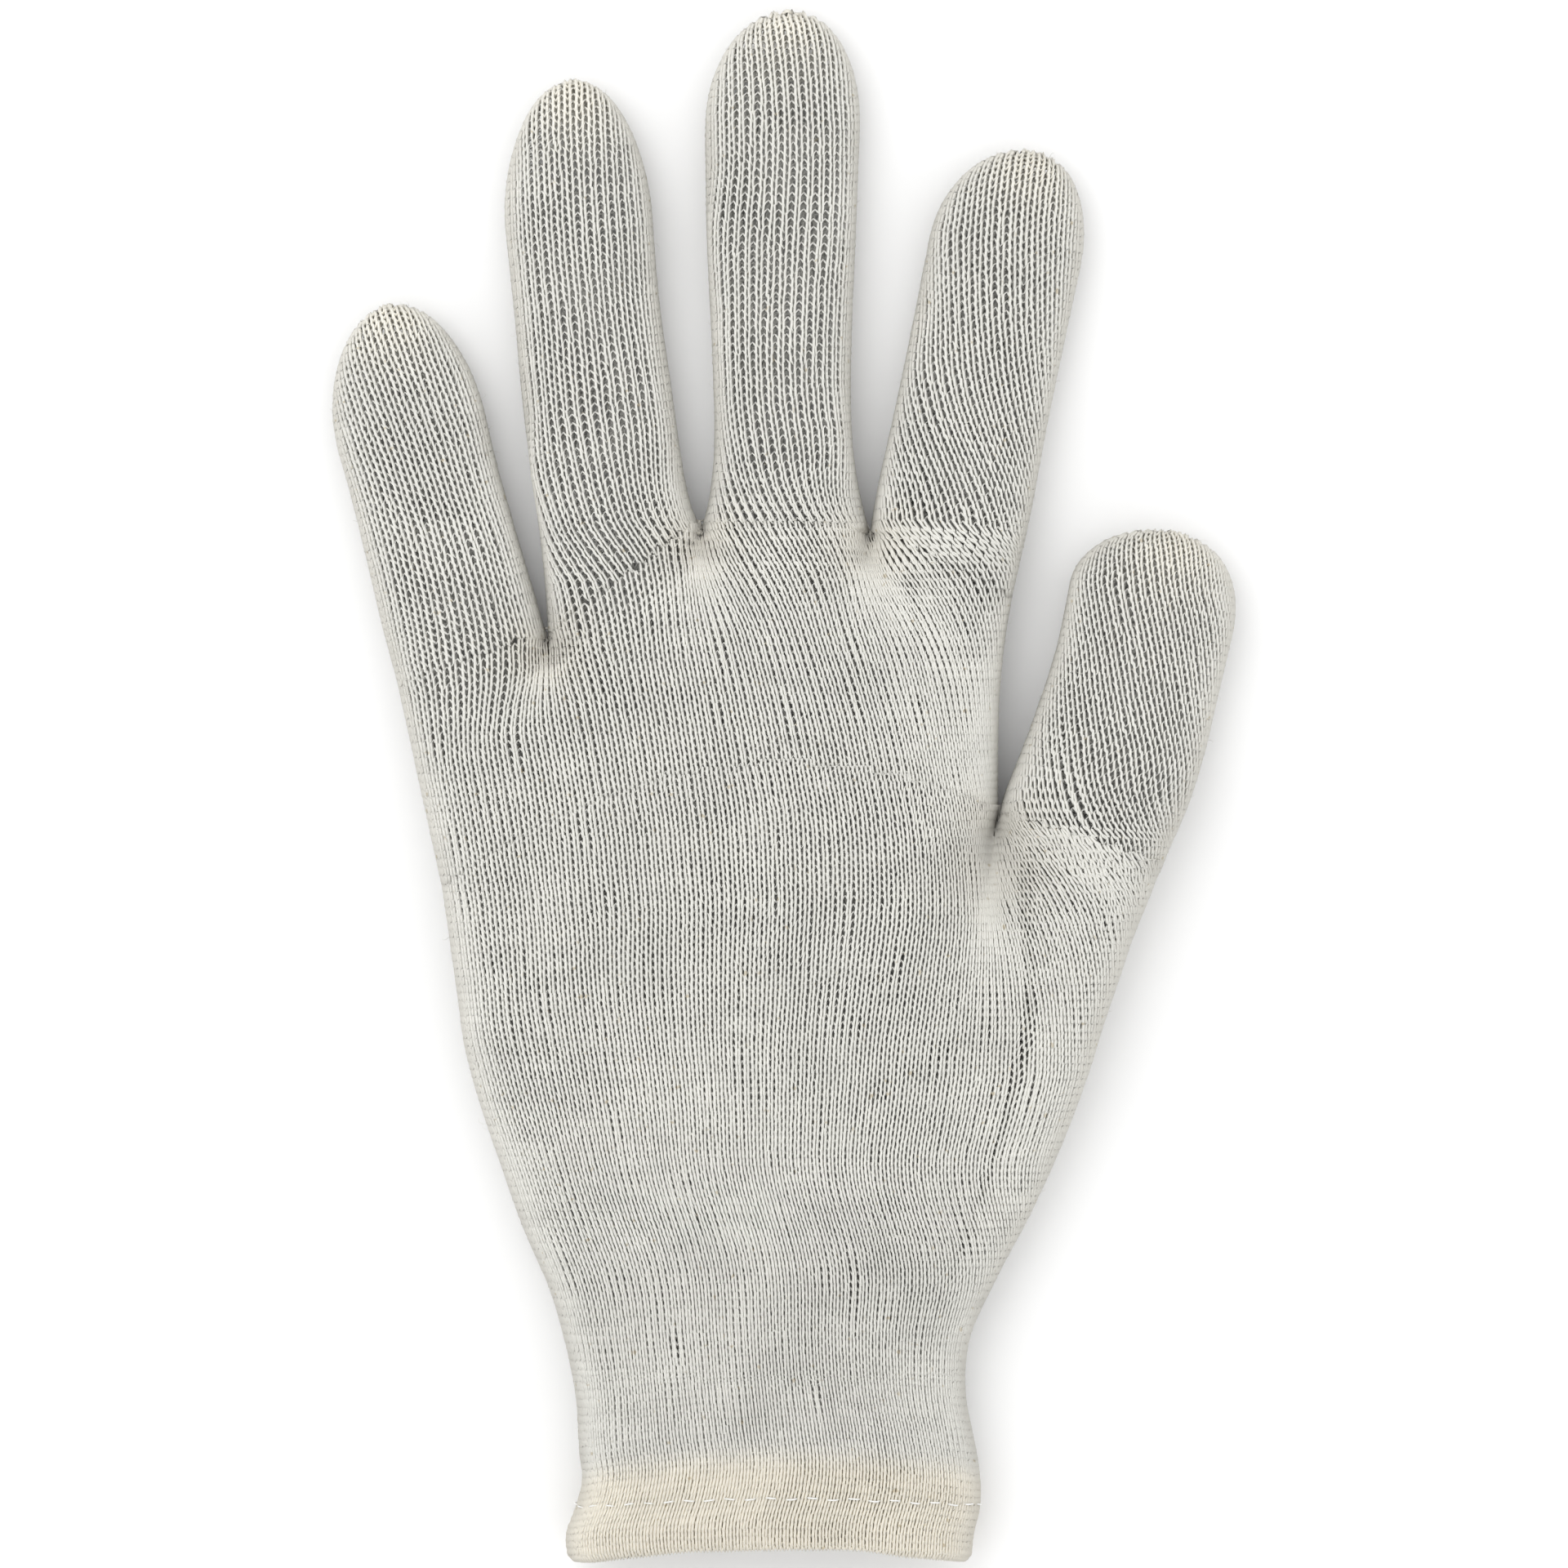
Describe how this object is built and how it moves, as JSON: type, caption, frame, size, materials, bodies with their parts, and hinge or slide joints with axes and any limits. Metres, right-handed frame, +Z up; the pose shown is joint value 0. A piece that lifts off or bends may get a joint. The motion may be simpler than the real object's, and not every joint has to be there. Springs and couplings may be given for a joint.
{
  "type": "knitted cotton work glove",
  "caption": "Knitted cotton work glove lying flat and lightly lofted, fingers and thumb spread, with an open hemmed wrist.",
  "frame": {"origin": "centre of the glove's bounding box on the surface that it lies on", "axes": "+Y from the cuff to the fingertips, +X across the hand to the thumb, +Z up from the surface"},
  "size_m": [0.145, 0.2492, 0.023],
  "materials": {
    "knitted_cotton": "matte knitted yarn",
    "hem_cotton": "matte knitted yarn, doubled"
  },
  "bodies": {
    "root": {"knit_shell": "knitted_cotton", "cuff_hem": "hem_cotton"}
  },
  "joints": []
}
